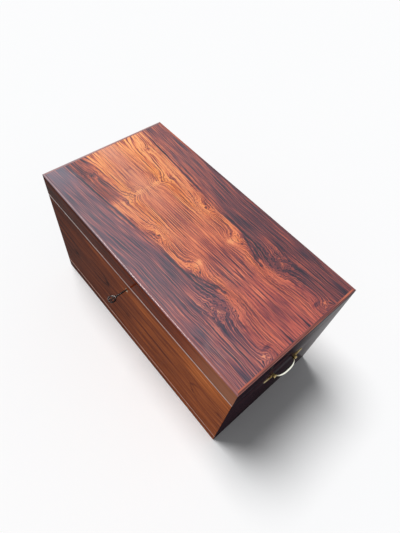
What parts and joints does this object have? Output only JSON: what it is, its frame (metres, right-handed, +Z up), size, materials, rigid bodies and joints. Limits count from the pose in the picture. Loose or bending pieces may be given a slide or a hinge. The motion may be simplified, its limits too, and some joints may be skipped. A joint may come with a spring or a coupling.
{
  "type": "trunk bar",
  "caption": "Low rosewood bar chest with a back-hinged lid, a drop front on quadrant stays, a keyed lock, a bottle rack and shelves inside, and a swinging brass bail at each end.",
  "frame": {"origin": "middle of the underside, on the surface that the chest stands on", "axes": "+Z up, -Y out of the front, +X to the right seen from the front"},
  "size_m": [0.9454, 0.5383, 0.508],
  "materials": {
    "rosewood_top": "book-matched rosewood veneer in polished clear lacquer",
    "rosewood_edge": "solid rosewood lipping, polished",
    "rosewood_front": "long-grained rosewood veneer, polished",
    "rosewood_side": "dark rosewood veneer, polished",
    "rosewood_back": "dark rosewood veneer, satin",
    "bottom_board": "plain unpolished board",
    "inner_rosewood": "rosewood, oiled",
    "black_laminate": "black laminate, semi-gloss",
    "handle_brass": "polished pale brass",
    "fitting_brass": "satin brass",
    "screw_brass": "plain brass",
    "key_iron": "dark worn iron"
  },
  "bodies": {
    "case": {"base_board": "bottom_board", "base_rail": "rosewood_front", "side_panel_left": "rosewood_side", "side_panel_right": "rosewood_side", "back_panel": "rosewood_back", "floor_lining": "black_laminate", "partition_left": "inner_rosewood", "partition_right": "inner_rosewood", "shelf_centre": "inner_rosewood", "shelf_right": "inner_rosewood", "shelf_battens": "inner_rosewood", "bottle_rack_long_slats": "inner_rosewood", "bottle_rack_cross_slats": "inner_rosewood", "flap_hinge_lower_halves": "fitting_brass", "stay_keeper_left": "fitting_brass", "stay_keeper_right": "fitting_brass", "stay_keeper_screws": "screw_brass", "lid_hinge_lower_leaves": "fitting_brass", "lid_hinge_pins": "fitting_brass", "lid_hinge_lower_screws": "screw_brass", "handle_post_left_front": "handle_brass", "handle_post_left_back": "handle_brass", "handle_post_right_front": "handle_brass", "handle_post_right_back": "handle_brass", "handle_screws": "screw_brass"},
    "fall_front": {"flap_panel": "rosewood_front", "flap_lining": "black_laminate", "flap_hinge_upper_halves": "fitting_brass", "stay_left": "fitting_brass", "stay_right": "fitting_brass", "stay_foot_screws": "screw_brass", "escutcheon": "fitting_brass", "lock_case": "fitting_brass", "lock_cover": "fitting_brass", "lock_cover_screws": "screw_brass"},
    "hinge_links": {"flap_hinge_links": "fitting_brass"},
    "bolt": {"lock_bolt": "fitting_brass"},
    "key": {"key": "key_iron"},
    "lid": {"lid_top_board": "rosewood_top", "lid_lipping_front": "rosewood_edge", "lid_lipping_back": "rosewood_edge", "lid_lipping_left": "rosewood_edge", "lid_lipping_right": "rosewood_edge", "lid_rail_front": "rosewood_front", "lid_rail_back": "rosewood_back", "lid_rail_left": "rosewood_side", "lid_rail_right": "rosewood_side", "lid_lining": "black_laminate", "lid_hinge_upper_leaves": "fitting_brass", "lid_hinge_upper_screws": "screw_brass", "strike_plate": "fitting_brass", "strike_screws": "screw_brass"},
    "bail_left": {"bail_left": "handle_brass"},
    "bail_right": {"bail_right": "handle_brass"}
  },
  "joints": [
    {"name": "lid_hinge", "type": "hinge", "parent": "case", "child": "lid", "pos_m": [0, 0.2368, 0.422], "axis": [-1, 0, 0], "range_deg": [0, 95]},
    {"name": "flap_hinge", "type": "hinge", "parent": "case", "child": "fall_front", "pos_m": [0, -0.2323, 0.0464], "axis": [1, 0, 0], "range_deg": [0, 90]},
    {"name": "hinge_links_turn", "type": "hinge", "parent": "case", "child": "hinge_links", "pos_m": [0, -0.2323, 0.0464], "axis": [1, 0, 0], "range_deg": [0, 48]},
    {"name": "key_turn", "type": "hinge", "parent": "fall_front", "child": "key", "pos_m": [-0.005, -0.2145, 0.386], "axis": [0, 1, 0], "range_deg": [0, 93]},
    {"name": "bolt_slide", "type": "slide", "parent": "fall_front", "child": "bolt", "axis": [0, 0, 1], "range_m": [0, 0.01]},
    {"name": "bail_left_swing", "type": "hinge", "parent": "case", "child": "bail_left", "pos_m": [-0.456, 0, 0.312], "axis": [0, -1, 0], "range_deg": [-95, 95]},
    {"name": "bail_right_swing", "type": "hinge", "parent": "case", "child": "bail_right", "pos_m": [0.456, 0, 0.312], "axis": [0, 1, 0], "range_deg": [-95, 95]}
  ],
  "couplings": [
    {"joint": "hinge_links_turn", "follows": "flap_hinge", "ratio": 0.5},
    {"joint": "key_turn", "follows": "bolt_slide", "rad_per_m": 157.08}
  ]
}
